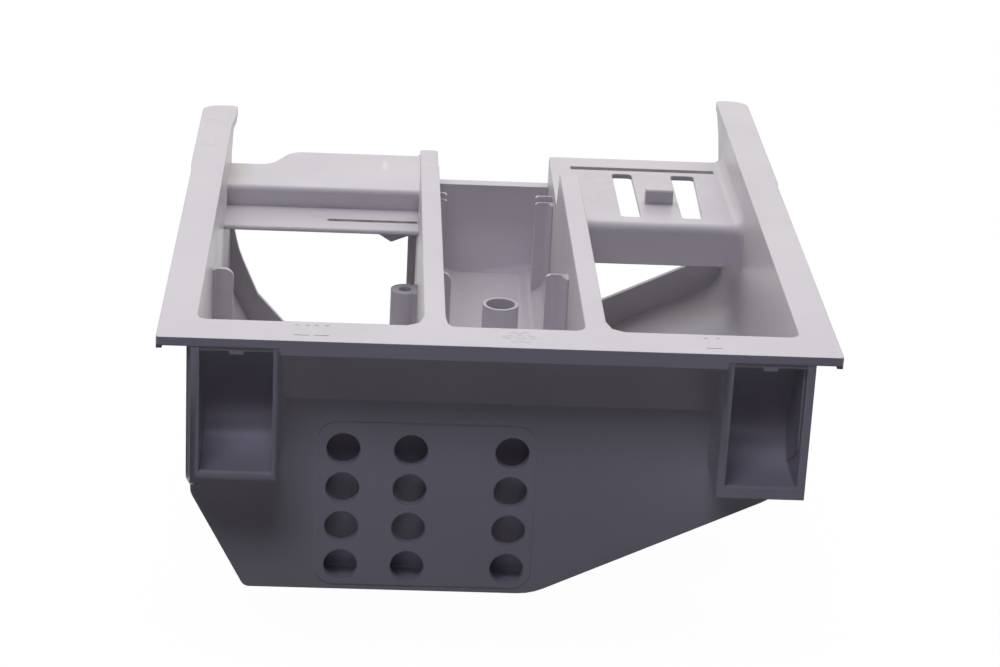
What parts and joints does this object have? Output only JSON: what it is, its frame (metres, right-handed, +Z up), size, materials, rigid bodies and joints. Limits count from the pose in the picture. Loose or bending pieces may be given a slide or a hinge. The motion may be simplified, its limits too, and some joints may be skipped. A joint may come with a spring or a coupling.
{
  "type": "washing machine detergent drawer",
  "caption": "Open detergent drawer body in light grey plastic: sloped compartments, siphon tube, slotted rear bridge, long side rails and a front wall with round holes.",
  "frame": {"origin": "centre of the bounding box on the plane of the flat bottom", "axes": "+Z up; -Y is the front, where the handle panel goes; +X is to the right seen from the front"},
  "size_m": [0.1994, 0.251, 0.091],
  "materials": {
    "moulded_plastic": "semi-matt moulded polypropylene, light grey"
  },
  "bodies": {
    "root": {"drawer_body": "moulded_plastic"}
  },
  "joints": []
}
